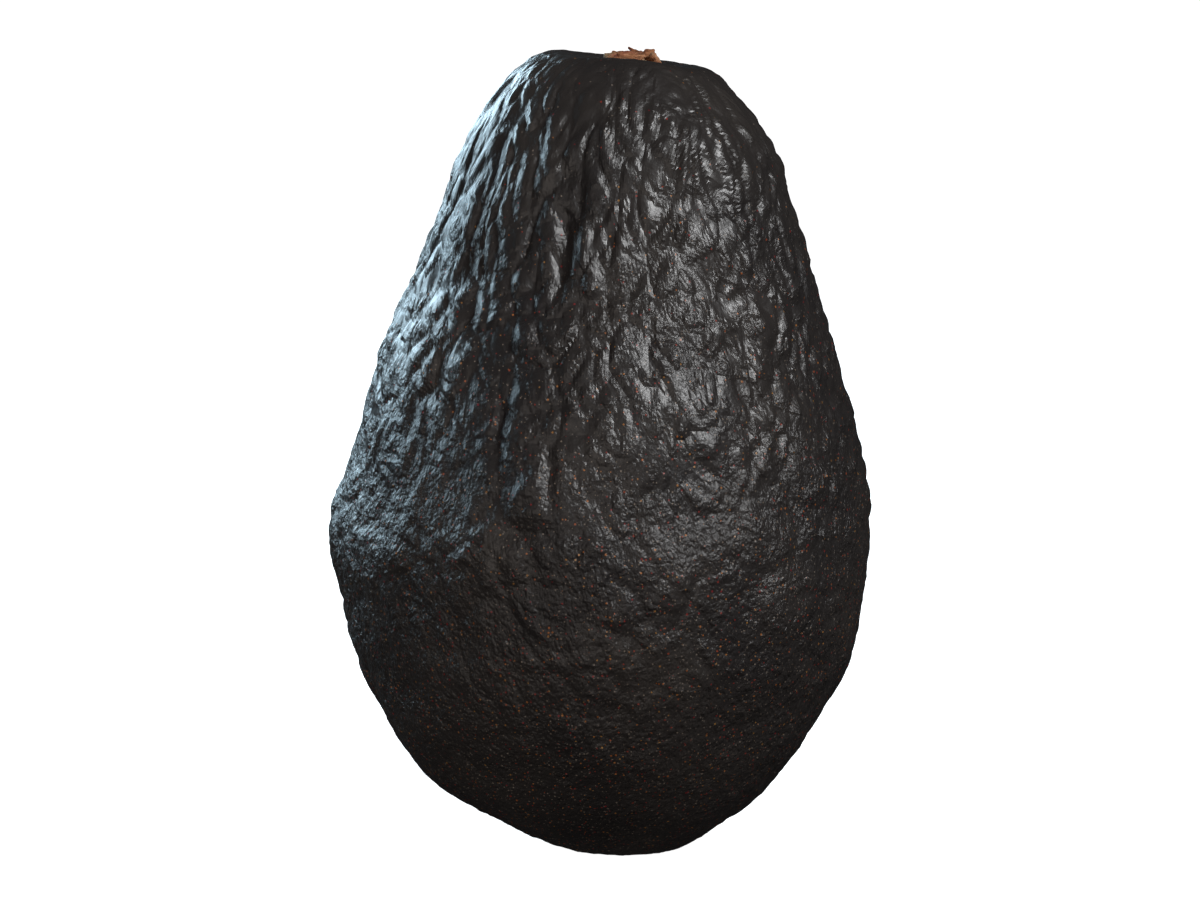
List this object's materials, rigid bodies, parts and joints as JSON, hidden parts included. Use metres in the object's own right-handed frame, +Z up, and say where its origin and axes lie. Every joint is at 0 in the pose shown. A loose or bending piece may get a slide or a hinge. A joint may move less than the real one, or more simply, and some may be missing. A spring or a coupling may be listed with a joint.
{
  "type": "avocado",
  "caption": "Whole ripe avocado, pear-shaped with a near-black pebbled skin and a dry brown scrap of stem in its crown, standing upright on a small flat spot.",
  "frame": {"origin": "centre of the flat spot that the fruit stands on, at its blunt end", "axes": "+Z up from the blunt end to the crown with the stem scrap, -Y towards the side that the picture shows, +X to the right in the picture"},
  "size_m": [0.0678, 0.065, 0.1],
  "materials": {
    "skin": "near-black, pebbled and ridged, waxy sheen, tiny rust-brown dots",
    "dry_stem": "dry, matte, torn bark brown"
  },
  "bodies": {
    "root": {"fruit": "skin", "stem_scrap": "dry_stem"}
  },
  "joints": []
}
